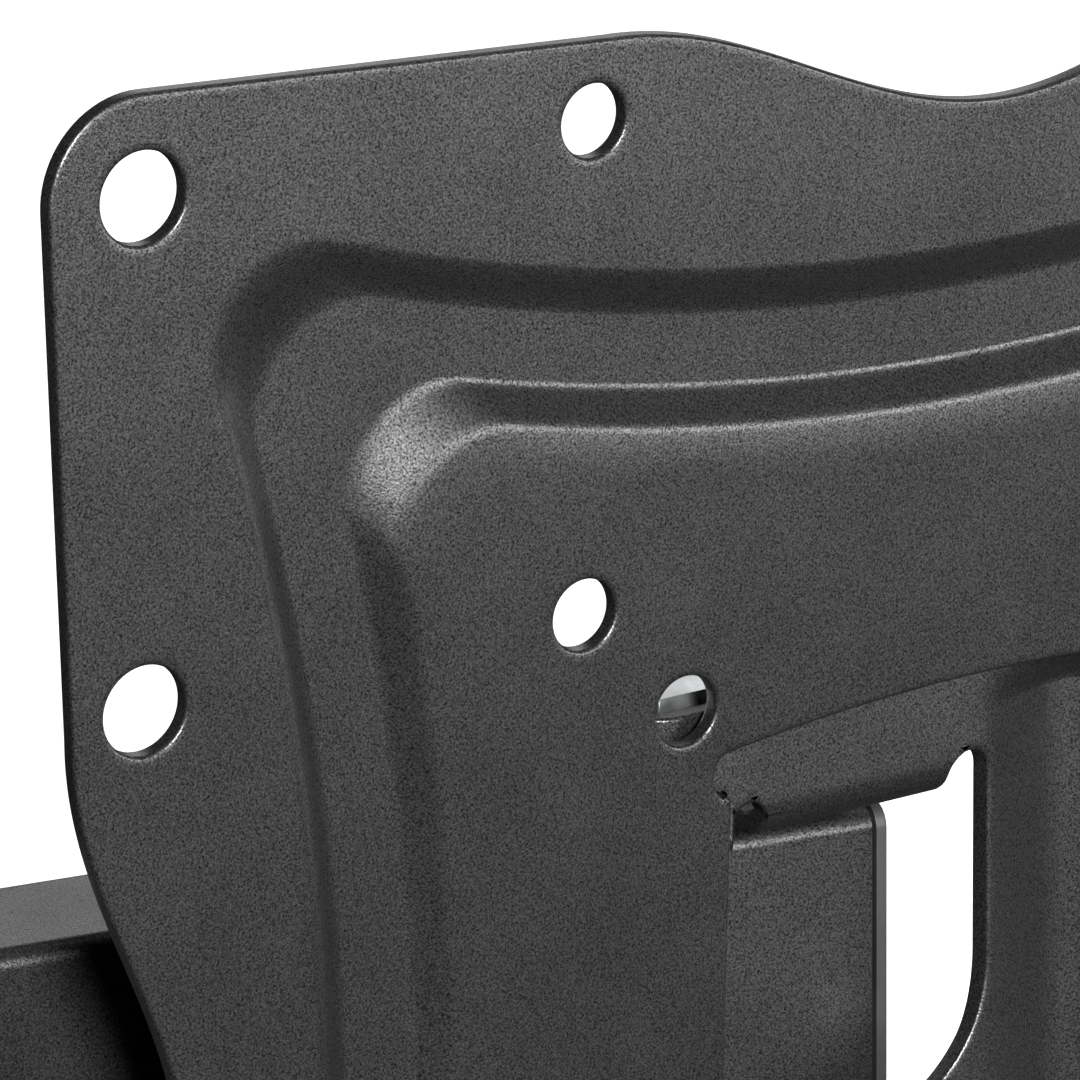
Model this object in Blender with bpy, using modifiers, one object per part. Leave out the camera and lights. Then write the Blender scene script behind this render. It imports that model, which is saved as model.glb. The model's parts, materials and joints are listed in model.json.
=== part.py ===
"""Full-motion wall mount for a flat screen.

A pressed screen plate tilts on a head bracket, the bracket swivels on a tubular front arm, and that arm
folds on a channel-section rear arm, which swivels on a hinge bracket riveted to a pressed wall plate.

Units are metres. The origin is the middle of the wall plate on the wall, the wall is the XZ plane, the
room is on the -Y side and +Z is up.
"""

import math

import bmesh
import bpy
from mathutils import Matrix, Vector
from mathutils.geometry import delaunay_2d_cdt

MM = 0.001

# Clearances
GAP = 0.3 * MM  # between faces that touch on the real object
RUN = 0.05 * MM  # radial, between a pin and its bore

# Pose of the arms and the plate at rest, in degrees
REAR_ARM_ANGLE = 222.3  # rear arm's direction, wall pivot to elbow, from +X
FRONT_ARM_ANGLE = -10.0  # front arm's direction, elbow to head, from +X
PLATE_TILT = 3.0  # top of the plate leans into the room

# Screen plate
PLATE_SHEET = 2.0 * MM
PLATE_HALF = 107.9 * MM  # middle of a side's straight run to the centre
PLATE_SCALLOP_DEPTH = 12.6 * MM
PLATE_SCALLOP_HALF = 48.0 * MM  # half the length of the dip in each side
PLATE_SIDE_SLOPE = 0.04  # the sides spread a little towards the corners
PLATE_CORNER_RADIUS = 10.0 * MM
GRID_LARGE = 100.0 * MM  # hole grid, as distances from the centre
GRID_MEDIUM = 50.0 * MM
GRID_SMALL = 37.5 * MM
HOLE_LARGE_RADIUS = 4.5 * MM
HOLE_SMALL_RADIUS = 3.65 * MM
RING_DEPTH = 2.8 * MM  # pressed ring's floor, behind the plate's face
RING_OUTER_TOP = 80.8 * MM  # the ring's contours, measured from the centre to the middle of a side
RING_OUTER_FOOT = 75.2 * MM
RING_INNER_FOOT = 68.4 * MM
RING_INNER_TOP = 59.5 * MM
RING_ROLL = ((0.0, 0.0), (0.12, 1.0), (0.38, 1.0), (0.5, 0.13), (1.0, 0.0))  # slope across the inner step
RING_SIDE_RADIUS = 260.0 * MM
RING_CORNER_RADIUS = 10.7 * MM
RING_OUTER_SHARES = (0.0, 0.33, 0.67, 1.0)  # where each step has a line of points
RING_INNER_SHARES = (0.0, 0.12, 0.25, 0.38, 0.5, 1.0)
CUTOUT_HALF_WIDTH = 31.6 * MM
CUTOUT_HALF_HEIGHT = 34.2 * MM
CUTOUT_ARCH = 2.2 * MM  # how far the top edge drops towards its ends
CUTOUT_NOTCH_WIDTH = 2.2 * MM
CUTOUT_NOTCH_FOOT = 27.0 * MM

# Tubular front arm, channel rear arm and their pivots
ARM_LENGTH = 190.0 * MM  # pivot to pivot, the same on both arms
TUBE_DEPTH = 20.0 * MM
TUBE_HEIGHT = 32.0 * MM
TUBE_WALL = 1.5 * MM
TUBE_CORNER = 2.0 * MM
TUBE_NOSE = 13.0 * MM  # tube past the head pivot
TUBE_TAIL = 12.5 * MM  # tube past the elbow pivot
CAP_RIM = 1.6 * MM
CAP_PROUD = 0.4 * MM  # the cap's rim stands this far past the tube's sides
CAP_PLUG = 7.0 * MM
PIN_RADIUS = 4.0 * MM
BUSH_WALL = 1.5 * MM
BUSH_SLEEVE = 5.0 * MM
BUSH_FLANGE = 4.1 * MM
BUSH_FLANGE_RADIUS = 7.0 * MM
CHANNEL_SHEET = 2.5 * MM
CHANNEL_BEND = 4.0 * MM
CHANNEL_SETBACK = 17.5 * MM  # from each pivot to the channel's web
LUG_HALF_WIDTH = 11.8 * MM
HEX_HEAD = 5.3 * MM
HEX_NUT = 6.5 * MM
PIN_HEX_RADIUS = 7.5 * MM
WASHER_THICKNESS = 1.6 * MM
PIN_WASHER_RADIUS = 8.5 * MM

# Tilt head bracket
HEAD_SHEET = 2.3 * MM
HEAD_CENTRE = 13.3 * MM  # the plate's middle, to the right of the swivel axis
HEAD_WEB_FRONT = 24.9 * MM  # bracket's face ahead of the swivel axis
HEAD_TOP = 36.4 * MM
HEAD_STEP_FOOT = 27.2 * MM  # foot of the cross bar outside the plate's cut-out
HEAD_TAB_FOOT = 20.8 * MM
HEAD_FOOT = 24.0 * MM
HEAD_STEM_MARGIN = 1.2 * MM  # between the stem and the plate's cut-out
HEAD_CORNER_RADIUS = 6.0 * MM
LUG_BEND = 4.4 * MM
RELIEF_LEFT_WIDTH = 4.1 * MM
RELIEF_RIGHT_WIDTH = 4.8 * MM
RELIEF_RISE = 0.35 * MM  # the reliefs reach this far past the fold
WINDOW_CENTRE_HEIGHT = 2.8 * MM  # of the round foot of the lug's window
GROOVE_START = 14.6 * MM  # groove's left edge, from the swivel axis
GROOVE_DEPTH = 3.5 * MM
GROOVE_LEFT = 14.5 * MM  # widths of its two slopes
GROOVE_RIGHT = 6.0 * MM
GROOVE_TOP = 34.2 * MM  # the groove runs out here, and is at its full depth below GROOVE_FULL
GROOVE_FULL = 29.4 * MM
GROOVE_ROUND = 0.25  # share of each slope that is rounded, at each of its ends
GROOVE_STEPS = 13
GROOVE_END_STEPS = 4

# Tilt joint
TILT_AXIS_BEHIND_WEB = 8.6 * MM
TILT_AXIS_HEIGHT = 34.4 * MM  # above the arms' centre line
TILT_AXIS_BEHIND_PLATE = 12.0 * MM
TILT_AXIS_ABOVE_CENTRE = 33.0 * MM
HEAD_EAR_FACE = 39.8 * MM  # outer face of each of the bracket's ears, from the middle
EAR_RADIUS = 7.5 * MM
EAR_BEND = 4.0 * MM
EAR_FOOT_LENGTH = 16.0 * MM
EAR_FOOT_DROP = 9.0 * MM  # the foot's ends, below and above the tilt axis
EAR_FOOT_RISE = 8.5 * MM
TILT_PIN_RADIUS = 3.0 * MM
TILT_HEX_RADIUS = 5.77 * MM
TILT_NUT = 8.0 * MM
TILT_HEAD = 4.0 * MM
TILT_WASHER = 1.2 * MM
TILT_WASHER_RADIUS = 5.0 * MM
FRICTION_WASHER = 1.0 * MM

# Wall plate, hinge bracket and covers
WALL_SHEET = 2.5 * MM
WALL_HALF_WIDTH = 40.0 * MM
WALL_HALF_HEIGHT = 110.0 * MM
WALL_CORNER_RADIUS = 8.0 * MM
WALL_RAISE = 9.0 * MM  # the lip stands this far out from the wall
WALL_LIP = 4.0 * MM
WALL_SLOPE_RUN = 6.0 * MM
WALL_SLOPE_STEPS = 4
WALL_SLOT_RADIUS = 4.5 * MM
WALL_SLOT_HALF = 9.0 * MM
WALL_SLOT_HEIGHT = 80.0 * MM
WALL_PILOT_HEIGHT = 58.0 * MM
PIVOT_OUT = 30.0 * MM  # wall pivot's distance from the wall
HINGE_SHEET = 3.0 * MM
HINGE_HALF_WIDTH = 25.0 * MM
HINGE_BEND = 5.0 * MM
HINGE_WING_RADIUS = 3.0 * MM
RIVET_RADIUS = 2.4 * MM
RIVET_HEAD_RADIUS = 4.2 * MM
RIVET_HEAD = 1.8 * MM
RIVET_X = 18.5 * MM
RIVET_Z = 8.0 * MM
COVER_DEPTH = 15.0 * MM
COVER_HEIGHT = 44.0 * MM
COVER_WALL = 1.8 * MM
COVER_ROUND = 3.0 * MM
COVER_CLEARANCE = 1.0 * MM  # over the pressed lip, which is uneven at its corners

# Cable clips
CLIP_RADIUS = 9.0 * MM
CLIP_WALL = 1.6 * MM
CLIP_WIDTH = 12.0 * MM
CLIP_MOUTH = 60.0  # degrees of the ring that are open
CLIP_STUD_RADIUS = 2.4 * MM
CLIP_PLACE = 0.5  # share of the arm's length

SEGMENTS = 32  # sides of a round piece
HOLE_SEGMENTS = 20
CORNER_SEGMENTS = 5
BEND_SEGMENTS = 5
MERGE = 1e-6
FULL_TURN = 2 * math.pi
QUARTER = math.pi / 2

# What fits together follows from the sizes above
PIVOT_INNER = TUBE_HEIGHT / 2 + BUSH_FLANGE + 2 * GAP  # a pair of lugs' inner faces, from the centre
TILT_AXIS_AHEAD = HEAD_WEB_FRONT - TILT_AXIS_BEHIND_WEB  # of the swivel axis
EAR_GAP = FRICTION_WASHER + 2 * GAP
PLATE_EAR_FACE = HEAD_EAR_FACE + EAR_GAP
HINGE_FACE = WALL_SHEET + GAP  # hinge bracket's back, from the wall


def remove_all_objects():
    for item in list(bpy.data.objects):
        bpy.data.objects.remove(item, do_unlink=True)


def new_collection(name):
    collection = bpy.data.collections.new(name)
    bpy.context.scene.collection.children.link(collection)
    return collection


remove_all_objects()
PARTS = new_collection("screen_wall_mount")
CUTTERS = new_collection("cutters")


def material(name, colour, roughness, metallic):
    made = bpy.data.materials.new(name)
    made.use_nodes = True
    shader = made.node_tree.nodes["Principled BSDF"]
    shader.inputs["Base Color"].default_value = (*colour, 1.0)
    shader.inputs["Roughness"].default_value = roughness
    shader.inputs["Metallic"].default_value = metallic
    made.diffuse_color = (*colour, 1.0)
    return made


# ---------------------------------------------------------------- flat outlines


def arc(centre, radius, start, end, steps):
    """Points on an arc, both ends included, with angles in degrees."""
    angles = [math.radians(start + (end - start) * i / steps) for i in range(steps + 1)]
    return [(centre[0] + radius * math.cos(a), centre[1] + radius * math.sin(a)) for a in angles]


def circle(centre, radius, steps=HOLE_SEGMENTS):
    return arc(centre, radius, 0, 360, steps)[:-1]


def rounded_rectangle(half_width, half_height, radius, steps=CORNER_SEGMENTS):
    x, y = half_width - radius, half_height - radius
    corners = (((x, y), 0), ((-x, y), 90), ((-x, -y), 180), ((x, -y), 270))
    return [point for centre, start in corners for point in arc(centre, radius, start, start + 90, steps)]


def slot(centre, half_length, radius):
    reach = half_length - radius
    right = arc((centre[0] + reach, centre[1]), radius, -90, 90, HOLE_SEGMENTS // 2)
    left = arc((centre[0] - reach, centre[1]), radius, 90, 270, HOLE_SEGMENTS // 2)
    return right + left


def four_fold(quarter):
    """A loop from its points between two diagonals, repeated at each quarter turn."""
    loop = []
    for turn in range(4):
        c, s = round(math.cos(turn * QUARTER)), round(math.sin(turn * QUARTER))
        loop += [(c * x - s * y, s * x + c * y) for x, y in quarter]
    return loop


def mirrored(points):
    return [(-x, y) for x, y in reversed(points)]


def plate_outline():
    """Each side dips in the middle along a cosine and spreads towards the rounded corners."""
    dips = 12

    def side(x):
        if abs(x) <= PLATE_SCALLOP_HALF:
            wave = (1 + math.cos(math.pi * x / PLATE_SCALLOP_HALF)) / 2
            return PLATE_HALF - PLATE_SCALLOP_DEPTH * wave
        return PLATE_HALF + PLATE_SIDE_SLOPE * (abs(x) - PLATE_SCALLOP_HALF)

    half = [i * PLATE_SCALLOP_HALF / dips for i in range(dips, 0, -1)]
    right = [(x, side(x)) for x in half]
    slope = math.degrees(math.atan(PLATE_SIDE_SLOPE))
    apex = (PLATE_HALF - PLATE_SIDE_SLOPE * PLATE_SCALLOP_HALF) / (1 - PLATE_SIDE_SLOPE)
    normal = (-PLATE_SIDE_SLOPE, 1)
    length = math.hypot(*normal)
    inset = PLATE_CORNER_RADIUS * length / (1 - PLATE_SIDE_SLOPE)
    corner = arc((apex - inset, apex - inset), PLATE_CORNER_RADIUS, 45, 90 + slope, CORNER_SEGMENTS)
    quarter = corner + right + [(0, side(0))]
    return four_fold(quarter + mirrored(quarter[1:-1]))


def ring_contour(middle):
    """A square with sides that bow in and round corners, `middle` from the centre to a side's middle."""
    side_steps, corner_steps = 7, 5

    def shortfall(x):
        lean = math.atan(x / RING_SIDE_RADIUS)
        reach = RING_CORNER_RADIUS * (math.sin(lean) + math.cos(lean))
        return middle + x * x / (2 * RING_SIDE_RADIUS) - x - reach

    low, high = 0.0, middle
    for _ in range(40):
        x = (low + high) / 2
        low, high = (x, high) if shortfall(x) > 0 else (low, x)
    lean = math.atan(x / RING_SIDE_RADIUS)
    centre = x + RING_CORNER_RADIUS * math.sin(lean)
    corner = arc((centre, centre), RING_CORNER_RADIUS, 45, 90 + math.degrees(lean), corner_steps)
    run = [x * (1 - i / side_steps) for i in range(1, side_steps)]
    side = [(u, middle + u * u / (2 * RING_SIDE_RADIUS)) for u in run]
    quarter = corner + side + [(0, middle)]
    return four_fold(quarter + mirrored(quarter[1:-1]))


def cutout_outline():
    """The plate's centre opening: arched top and foot, straight sides, a round notch near each corner."""
    steps = 8
    shares = [i / steps for i in range(steps + 1)]
    arch = [(CUTOUT_HALF_WIDTH * share, CUTOUT_HALF_HEIGHT - CUTOUT_ARCH * share * share) for share in shares]
    shoulder = CUTOUT_HALF_HEIGHT - CUTOUT_ARCH
    notch_radius = CUTOUT_NOTCH_WIDTH
    notch = arc((CUTOUT_HALF_WIDTH, shoulder - notch_radius), notch_radius, 80, 0, 4)
    notch += arc((CUTOUT_HALF_WIDTH, CUTOUT_NOTCH_FOOT + notch_radius), notch_radius, 0, -75, 4)
    lip = CUTOUT_NOTCH_WIDTH / 4
    notch += arc((CUTOUT_HALF_WIDTH + lip, CUTOUT_NOTCH_FOOT - lip), lip, 90, 180, 3)
    upper_right = arch + notch + [(CUTOUT_HALF_WIDTH, 0)]
    right = upper_right + [(x, -y) for x, y in reversed(upper_right[:-1])]
    return right + mirrored(right[1:-1])


# ---------------------------------------------------------------- sheet metal


def inside(point, loop):
    x, y = point
    found = False
    for (x0, y0), (x1, y1) in zip(loop, loop[1:] + loop[:1]):
        if (y0 > y) != (y1 > y) and x < x0 + (y - y0) * (x1 - x0) / (y1 - y0):
            found = not found
    return found


def blank(outline, holes=(), rings=(), lines=()):
    """Flat triangles over an outline less its holes, with an edge along every ring and line."""
    points, edges = [], []
    for loop in (outline, *holes, *rings):
        first = len(points)
        points += [Vector(point) for point in loop]
        edges += [(first + i, first + (i + 1) % len(loop)) for i in range(len(loop))]
    for start, end in lines:
        edges.append((len(points), len(points) + 1))
        points += [Vector(start), Vector(end)]
    found, _, triangles, *_ = delaunay_2d_cdt(points, edges, [], 0, MERGE)
    kept = []
    for triangle in triangles:
        middle = sum((found[i] for i in triangle), Vector((0, 0))) / 3
        if inside(middle, outline) and not any(inside(middle, hole) for hole in holes):
            kept.append(triangle)
    return [tuple(point) for point in found], kept


def folded(patch, origin, along, out, turn, radius):
    """Bend a flat patch a quarter turn: its first number runs along the fold and its second away from it."""
    points, triangles = patch
    origin, along, out, turn = (Vector(v) for v in (origin, along, out, turn))
    made = []
    for u, s in points:
        angle = min(s / radius, QUARTER)
        past = max(s - radius * QUARTER, 0)
        curl = out * (radius * math.sin(angle)) + turn * (radius * (1 - math.cos(angle)) + past)
        made.append(origin + along * u + curl)
    return made, triangles


def fold_lines(radius, low, high):
    """Lines across a patch where its bend is divided."""
    steps = [radius * QUARTER * i / BEND_SEGMENTS for i in range(1, BEND_SEGMENTS + 1)]
    return [((low, s), (high, s)) for s in steps]


def lug_patch(half_width, reach, radius, hole_radius, left_root=None, right_root=None):
    """A straight lug with a round end and a pin hole, `reach` from its parent's face to the pin.

    Each root is the line of points, from the fold outwards, where that side meets its relief; without
    one the side is straight.
    """
    straight = [(half_width, 0)]
    pin = reach - radius + radius * QUARTER
    end = arc((0, pin), half_width, 0, 180, SEGMENTS // 2)
    hole = circle((0, pin), hole_radius, SEGMENTS)
    lines = fold_lines(radius, -2 * half_width, 2 * half_width)
    return blank((right_root or straight) + end + mirrored(left_root or straight), [hole], lines=lines)


def upright(patch, depth=lambda x, z: 0.0):
    """Stand a flat patch in the XZ plane, pressed back by `depth` at each point."""
    points, triangles = patch
    return [Vector((x, depth(x, z), z)) for x, z in points], triangles


def level_at(levels, x, z):
    """The level given for a point of a pressed sheet, or 0 where it has none."""
    return next((level for u, v, level in levels if abs(u - x) < MERGE and abs(v - z) < MERGE), 0.0)


def mesh_object(name, mesh, parent, finish, collection=PARTS):
    made = bpy.data.objects.new(name, mesh)
    collection.objects.link(made)
    made.parent = parent
    if finish:
        mesh.materials.append(finish)
    return made


def sheet_object(name, patches, thickness, facing, parent, finish):
    """Weld surface patches into one skin that faces `facing` at its first patch, and thicken it behind."""
    mesh = bmesh.new()
    for points, triangles in patches:
        corners = [mesh.verts.new(point) for point in points]
        for triangle in triangles:
            mesh.faces.new([corners[i] for i in triangle])
    bmesh.ops.remove_doubles(mesh, verts=mesh.verts, dist=MERGE)
    loose = [corner for corner in mesh.verts if not corner.link_faces]
    bmesh.ops.delete(mesh, geom=loose, context="VERTS")
    bmesh.ops.recalc_face_normals(mesh, faces=mesh.faces)
    mesh.faces.ensure_lookup_table()
    if mesh.faces[0].normal.dot(Vector(facing)) < 0:
        bmesh.ops.reverse_faces(mesh, faces=mesh.faces)
    data = bpy.data.meshes.new(name)
    mesh.to_mesh(data)
    mesh.free()
    made = mesh_object(name, data, parent, finish)
    shell = made.modifiers.new("sheet", "SOLIDIFY")
    shell.thickness = thickness
    shell.offset = -1
    shell.use_even_offset = True
    return made


# ---------------------------------------------------------------- solid pieces


def smooth(mesh):
    mesh.shade_smooth()
    mesh.set_sharp_from_angle(angle=math.radians(35))


def turned(name, profile, parent, finish, location=(0, 0, 0), rotation=(0, 0, 0), collection=PARTS):
    """A profile of (radius, height) points, down its outer side first, turned about Z."""
    mesh = bpy.data.meshes.new(name)
    on_axis = profile[0][0] == 0 and profile[-1][0] == 0
    edges = [(i, (i + 1) % len(profile)) for i in range(len(profile) - on_axis)]
    mesh.from_pydata([(radius, 0, height) for radius, height in profile], edges, [])
    made = mesh_object(name, mesh, parent, finish, collection)
    made.location, made.rotation_euler = location, rotation
    lathe = made.modifiers.new("lathe", "SCREW")
    lathe.steps = lathe.render_steps = SEGMENTS
    lathe.use_merge_vertices = True
    lathe.merge_threshold = MERGE
    return made


def washer_profile(inner, outer, low, high):
    return [(outer, high), (outer, low), (inner, low), (inner, high)]


def evaluated_mesh(source):
    bpy.context.view_layer.update()
    found = source.evaluated_get(bpy.context.evaluated_depsgraph_get())
    return bpy.data.meshes.new_from_object(found)


def prism(name, loops, height, parent, finish, collection=PARTS):
    """A flat outline, with the loops inside it as holes, extruded to `height` and centred on Z = 0."""
    data = bpy.data.curves.new(name, "CURVE")
    data.dimensions, data.fill_mode, data.extrude = "2D", "BOTH", height / 2
    for loop in loops:
        spline = data.splines.new("POLY")
        spline.points.add(len(loop) - 1)
        for point, (x, y) in zip(spline.points, loop):
            point.co = (x, y, 0, 1)
        spline.use_cyclic_u = True
    curve = bpy.data.objects.new(name + "_outline", data)
    collection.objects.link(curve)
    mesh = evaluated_mesh(curve)
    bpy.data.objects.remove(curve)
    welded = bmesh.new()
    welded.from_mesh(mesh)
    bmesh.ops.remove_doubles(welded, verts=welded.verts, dist=MERGE)
    bmesh.ops.recalc_face_normals(welded, faces=welded.faces)
    welded.to_mesh(mesh)
    welded.free()
    mesh.name = name
    return mesh_object(name, mesh, parent, finish, collection)


def boolean(target, tool, operation):
    tool.hide_render = True
    tool.display_type = "WIRE"
    change = target.modifiers.new(operation.lower(), "BOOLEAN")
    change.operation, change.object, change.solver = operation, tool, "EXACT"


def cut(target, tool):
    boolean(target, tool, "DIFFERENCE")


def join(target, tool):
    boolean(target, tool, "UNION")


def cutter_cylinder(name, radius, length, parent, location, rotation=(0, 0, 0)):
    made = prism(name, [circle((0, 0), radius, SEGMENTS)], length, parent, None, CUTTERS)
    made.location, made.rotation_euler = location, rotation
    return made


def cutter_box(name, low, high, parent=None):
    size = [b - a for a, b in zip(low, high)]
    middle = [(a + b) / 2 for a, b in zip(low, high)]
    box = bmesh.new()
    bmesh.ops.create_cube(box, size=1, matrix=Matrix.Translation(middle) @ Matrix.Diagonal((*size, 1)))
    data = bpy.data.meshes.new(name)
    box.to_mesh(data)
    box.free()
    return mesh_object(name, data, parent, None, CUTTERS)


def loft(name, rings, parent, finish):
    """A solid through matching rings of 3D points, closed flat at both ends."""
    mesh = bmesh.new()
    rows = [[mesh.verts.new(point) for point in ring] for ring in rings]
    for near, far in zip(rows, rows[1:]):
        for i in range(len(near)):
            j = (i + 1) % len(near)
            mesh.faces.new((near[i], near[j], far[j], far[i]))
    mesh.faces.new(rows[0])
    mesh.faces.new(rows[-1])
    bmesh.ops.recalc_face_normals(mesh, faces=mesh.faces)
    data = bpy.data.meshes.new(name)
    mesh.to_mesh(data)
    mesh.free()
    return mesh_object(name, data, parent, finish)


def hex_bolt(name, radius, length, head, hex_radius, parent, finish, location, rotation=(0, 0, 0)):
    """The shank runs down -Z from the head's underside at Z = 0."""
    bolt = prism(name, [circle((0, 0), hex_radius, 6)], head, parent, finish)
    bolt.data.transform(Matrix.Translation((0, 0, head / 2)))
    shank = prism(name + "_shank", [circle((0, 0), radius, SEGMENTS)], length + head / 2, bolt, None, CUTTERS)
    shank.location = (0, 0, (head / 2 - length) / 2)
    join(bolt, shank)
    bolt.location, bolt.rotation_euler = location, rotation
    return bolt


def hex_nut(name, bore, height, hex_radius, parent, finish, location, rotation=(0, 0, 0)):
    loops = [circle((0, 0), hex_radius, 6), circle((0, 0), bore, SEGMENTS)]
    nut = prism(name, loops, height, parent, finish)
    nut.location, nut.rotation_euler = location, rotation
    return nut


# ---------------------------------------------------------------- the mount's frames


def axis_empty(name, parent, location, turn_x=0.0, turn_z=0.0):
    made = bpy.data.objects.new(name, None)
    PARTS.objects.link(made)
    made.parent, made.location = parent, location
    made.rotation_euler = (math.radians(turn_x), 0, math.radians(turn_z))
    return made


STEEL = material("black_powder_coat", (0.035, 0.036, 0.037), 0.55, 0.0)
ZINC = material("bright_zinc", (0.72, 0.73, 0.74), 0.32, 1.0)
PLASTIC = material("black_plastic", (0.02, 0.02, 0.021), 0.45, 0.0)
NYLON = material("black_bearing_plastic", (0.024, 0.024, 0.024), 0.5, 0.0)

wall_axis = axis_empty("wall_axis", None, (0, -PIVOT_OUT, 0), turn_z=REAR_ARM_ANGLE)
elbow_axis = axis_empty("elbow_axis", wall_axis, (ARM_LENGTH, 0, 0), turn_z=FRONT_ARM_ANGLE - REAR_ARM_ANGLE)
head_axis = axis_empty("head_axis", elbow_axis, (ARM_LENGTH, 0, 0), turn_z=-FRONT_ARM_ANGLE)
tilt_axis = axis_empty(
    "tilt_axis", head_axis, (HEAD_CENTRE, -TILT_AXIS_AHEAD, TILT_AXIS_HEIGHT), turn_x=PLATE_TILT
)


# ---------------------------------------------------------------- pivots


def pivot_bushes(name, parent, face, location=(0, 0, 0)):
    """A flanged bush in the top and in the foot of the piece whose faces are `face` from the centre."""
    bore, sleeve = PIN_RADIUS + RUN, PIN_RADIUS + BUSH_WALL
    seat = face + GAP
    profile = [
        (BUSH_FLANGE_RADIUS, seat + BUSH_FLANGE),
        (BUSH_FLANGE_RADIUS, seat),
        (sleeve, seat),
        (sleeve, seat - BUSH_SLEEVE),
        (bore, seat - BUSH_SLEEVE),
        (bore, seat + BUSH_FLANGE),
    ]
    turned(name + "_bush_top", profile, parent, NYLON, location)
    turned(name + "_bush_bottom", profile, parent, NYLON, location, (math.pi, 0, 0))


def pivot_bolt(name, parent, sheet, location=(0, 0, 0)):
    """A bolt, its nut and two washers through a pair of lugs `sheet` thick."""
    face = PIVOT_INNER + sheet + GAP
    top = face + WASHER_THICKNESS + GAP
    length = 2 * top + HEX_NUT + 2 * GAP
    x, y, _ = location
    hex_bolt(name + "_bolt", PIN_RADIUS, length, HEX_HEAD, PIN_HEX_RADIUS, parent, ZINC, (x, y, top))
    nut_place = (x, y, -top - HEX_NUT / 2)
    hex_nut(name + "_nut", PIN_RADIUS + RUN, HEX_NUT, PIN_HEX_RADIUS, parent, ZINC, nut_place)
    profile = washer_profile(PIN_RADIUS + RUN, PIN_WASHER_RADIUS, face, face + WASHER_THICKNESS)
    turned(name + "_washer_top", profile, parent, ZINC, (x, y, 0))
    turned(name + "_washer_bottom", profile, parent, ZINC, (x, y, 0), (math.pi, 0, 0))


# ---------------------------------------------------------------- wall plate and hinge


def make_wall_plate():
    """A shallow tray that lies flat on the wall, with its lip pressed out towards the room."""
    outline = rounded_rectangle(WALL_HALF_WIDTH, WALL_HALF_HEIGHT, WALL_CORNER_RADIUS)
    levels = [(x, z, WALL_RAISE) for x, z in outline]
    rings = []
    for step in range(WALL_SLOPE_STEPS + 1):
        share = step / WALL_SLOPE_STEPS
        inset = WALL_LIP + WALL_SLOPE_RUN * share
        half_width, half_height = WALL_HALF_WIDTH - inset, WALL_HALF_HEIGHT - inset
        rings.append(rounded_rectangle(half_width, half_height, WALL_CORNER_RADIUS))
        level = WALL_RAISE * (1 - share * share * (3 - 2 * share))
        levels += [(x, z, level) for x, z in rings[-1]]

    def raised(x, z):
        return -level_at(levels, x, z)

    holes = [slot((0, side * WALL_SLOT_HEIGHT), WALL_SLOT_HALF, WALL_SLOT_RADIUS) for side in (1, -1)]
    holes += [circle((0, side * WALL_PILOT_HEIGHT), WALL_SLOT_RADIUS) for side in (1, -1)]
    holes += [circle(place, RIVET_RADIUS + GAP) for place in rivet_places()]
    patch = upright(blank(outline, holes, rings), raised)
    sheet_object("wall_plate", [patch], WALL_SHEET, (0, 1, 0), None, STEEL)


def rivet_places():
    return [(x, z) for x in (-RIVET_X, RIVET_X) for z in (-RIVET_Z, RIVET_Z)]


def make_hinge_bracket():
    """A web on the wall plate with a lug turned out to the room at its top and at its foot."""
    outer = TUBE_HEIGHT / 2
    fold = outer - HINGE_BEND
    back = -HINGE_FACE
    wing_top = fold - GAP
    relief = HINGE_WING_RADIUS / 2
    notch = arc((LUG_HALF_WIDTH + relief, wing_top), relief, 180, 360, 4)
    wing = arc((HINGE_HALF_WIDTH - HINGE_WING_RADIUS, outer - HINGE_WING_RADIUS), HINGE_WING_RADIUS, 90, 0, 4)
    step = (LUG_HALF_WIDTH + 2 * relief, outer)
    upper_right = [(LUG_HALF_WIDTH, fold)] + notch + [step] + wing
    right = upper_right + [(x, -z) for x, z in reversed(upper_right)]
    outline = right + mirrored(right)
    holes = [circle(place, RIVET_RADIUS + GAP) for place in rivet_places()]
    points, triangles = upright(blank(outline, holes))
    web = [point + Vector((0, back, 0)) for point in points], triangles
    reach = PIVOT_OUT - HINGE_FACE
    lug = lug_patch(LUG_HALF_WIDTH, reach, HINGE_BEND, PIN_RADIUS + BUSH_WALL + RUN)
    top = folded(lug, (0, back, fold), (1, 0, 0), (0, 0, 1), (0, -1, 0), HINGE_BEND)
    foot = folded(lug, (0, back, -fold), (1, 0, 0), (0, 0, -1), (0, -1, 0), HINGE_BEND)
    sheet_object("wall_hinge_bracket", [web, top, foot], HINGE_SHEET, (0, 1, 0), None, STEEL)


def make_rivets():
    """Domed rivets through the hinge bracket and the wall plate, flush at the wall."""
    front = -(HINGE_FACE + HINGE_SHEET + GAP)
    length = HINGE_FACE + HINGE_SHEET
    dome = arc((0, 0), 1, 90, 0, CORNER_SEGMENTS)
    head = [(x * RIVET_HEAD_RADIUS, RIVET_HEAD * z) for x, z in dome[1:]]
    profile = [(0, RIVET_HEAD)] + head + [(RIVET_RADIUS, 0), (RIVET_RADIUS, -length), (0, -length)]
    for number, (x, z) in enumerate(rivet_places(), 1):
        turned(f"bracket_rivet_{number}", profile, None, ZINC, (x, front, z), (QUARTER, 0, 0))


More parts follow.
